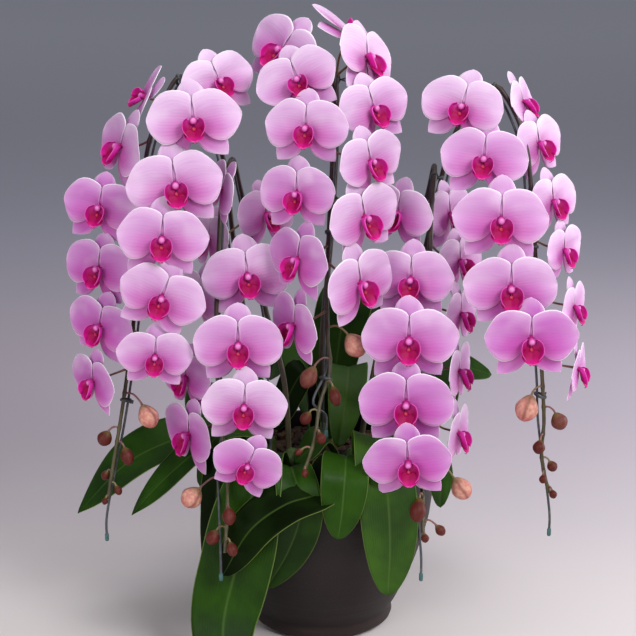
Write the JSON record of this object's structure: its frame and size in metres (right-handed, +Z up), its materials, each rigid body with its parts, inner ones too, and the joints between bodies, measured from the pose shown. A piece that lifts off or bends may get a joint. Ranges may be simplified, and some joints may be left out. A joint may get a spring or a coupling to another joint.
{
  "type": "potted moth orchid",
  "caption": "Gift orchid in a bowl-shaped dark ceramic pot: arching flower spikes on wire stakes, hung with pink blooms, above broad glossy leaves.",
  "frame": {"origin": "centre of the pot's underside", "axes": "+Z up along the pot's axis, -Y towards the front, where the blooms face, +X to the right as seen from the front"},
  "size_m": [0.6127, 0.45, 0.7544],
  "materials": {
    "petal": "satin",
    "leaf": "glossy",
    "crown": "satin",
    "wire": "satin",
    "ceramic": "matte",
    "bark": "rough"
  },
  "bodies": {
    "root": {"pot": "ceramic", "bark": "bark", "crown_a": "crown", "spike_a": "petal", "stake_a": "wire", "crown_b": "crown", "spike_b": "petal", "stake_b": "wire", "crown_c": "crown", "spike_c": "petal", "stake_c": "wire", "crown_d": "crown", "spike_d": "petal", "stake_d": "wire", "crown_e": "crown", "spike_e": "petal", "stake_e": "wire", "leaf_01": "leaf", "leaf_02": "leaf", "leaf_03": "leaf", "leaf_04": "leaf", "leaf_05": "leaf", "leaf_06": "leaf", "leaf_07": "leaf", "leaf_08": "leaf", "leaf_09": "leaf", "leaf_10": "leaf", "leaf_11": "leaf", "leaf_12": "leaf", "leaf_13": "leaf", "leaf_14": "leaf", "leaf_15": "leaf", "leaf_16": "leaf", "leaf_17": "leaf", "leaf_18": "leaf"}
  },
  "joints": []
}
